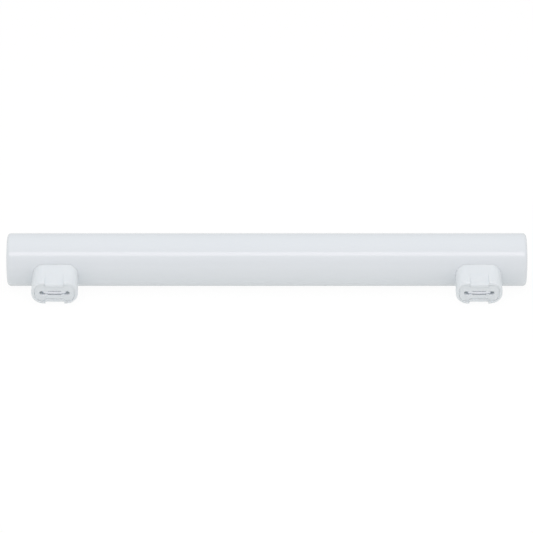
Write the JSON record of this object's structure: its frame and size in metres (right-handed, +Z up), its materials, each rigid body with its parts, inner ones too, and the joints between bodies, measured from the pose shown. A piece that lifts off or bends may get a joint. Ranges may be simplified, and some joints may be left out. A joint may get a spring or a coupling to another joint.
{
  "type": "tubular light bulb",
  "caption": "Opal white tubular lamp held sideways by an oblong plug cap near each end, with a bowed contact bar in each cap's face.",
  "frame": {"origin": "middle of the lamp's footprint, on the surface that it lies on", "axes": "+X along the tube, -Y the way the caps point (about 15 degrees below level), +Z up"},
  "size_m": [0.3, 0.046, 0.0306],
  "materials": {
    "opal_tube": "opal white, smooth and softly glossy",
    "cap_plastic": "moulded white plastic, satin",
    "insert_plastic": "moulded white plastic, satin",
    "contact_metal": "polished plated metal"
  },
  "bodies": {
    "root": {"lamp_tube": "opal_tube", "cap_left": "cap_plastic", "cap_right": "cap_plastic", "cap_insert_left": "insert_plastic", "cap_insert_right": "insert_plastic", "contact_left": "contact_metal", "contact_right": "contact_metal"}
  },
  "joints": []
}
